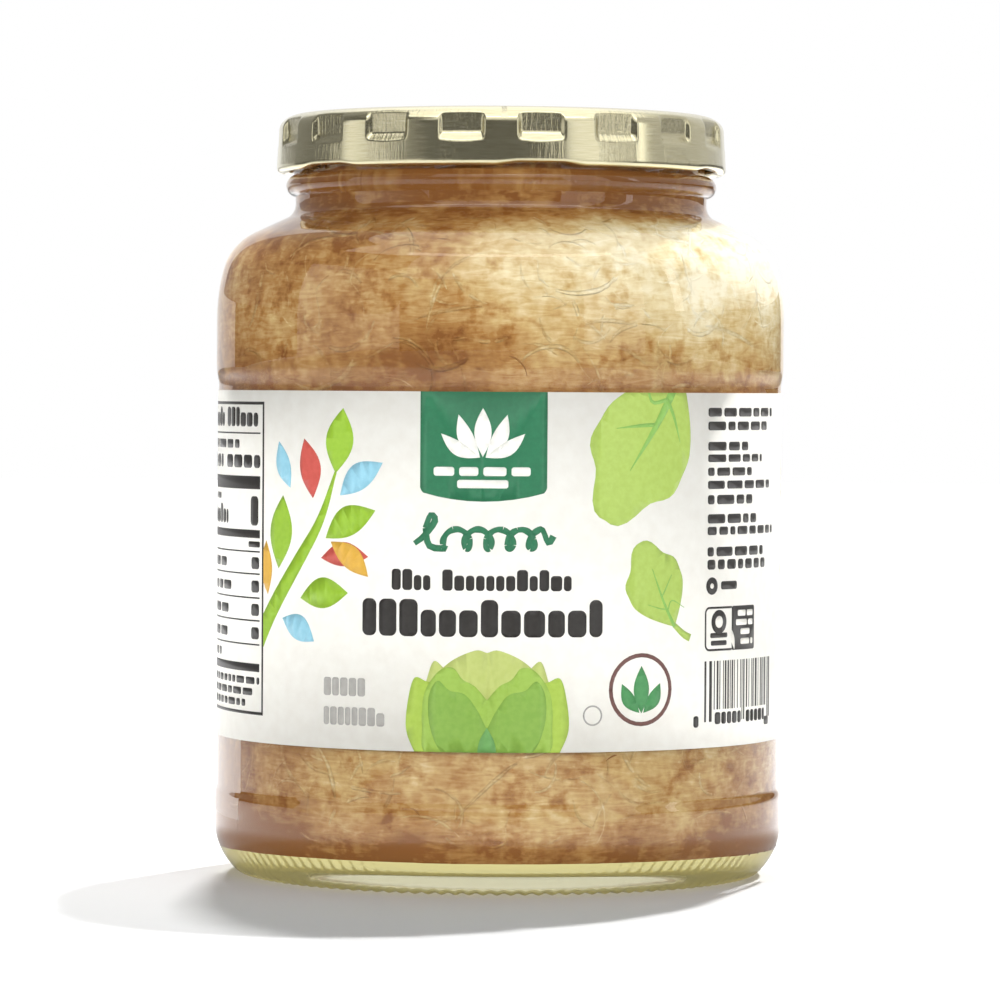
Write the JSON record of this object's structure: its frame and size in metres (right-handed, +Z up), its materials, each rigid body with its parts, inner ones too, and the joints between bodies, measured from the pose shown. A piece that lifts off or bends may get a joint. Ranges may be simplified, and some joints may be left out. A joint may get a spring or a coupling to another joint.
{
  "type": "sauerkraut jar",
  "caption": "Shut round glass jar filled with pale shredded sauerkraut, with a gold twist-off metal cap and a paper wrap label.",
  "frame": {"origin": "centre of the ring that the jar stands on, at the bottom centre of the bounding box", "axes": "+Z up along the jar's axis; the middle of the label's front faces -Y; +X to the right as seen from the front"},
  "size_m": [0.1072, 0.1072, 0.1429],
  "materials": {
    "glass": "clear soda-lime container glass, fire-polished",
    "gold_tinplate": "pale champagne-gold lacquer over bright tinplate, pressed and curled",
    "label_paper": "coated off-white label paper with flat printed colours, semi-matt",
    "sauerkraut": "wet shredded cabbage in cloudy brine behind glass"
  },
  "bodies": {
    "root": {"jar": "glass", "lid": "gold_tinplate", "label": "label_paper", "sauerkraut": "sauerkraut"}
  },
  "joints": []
}
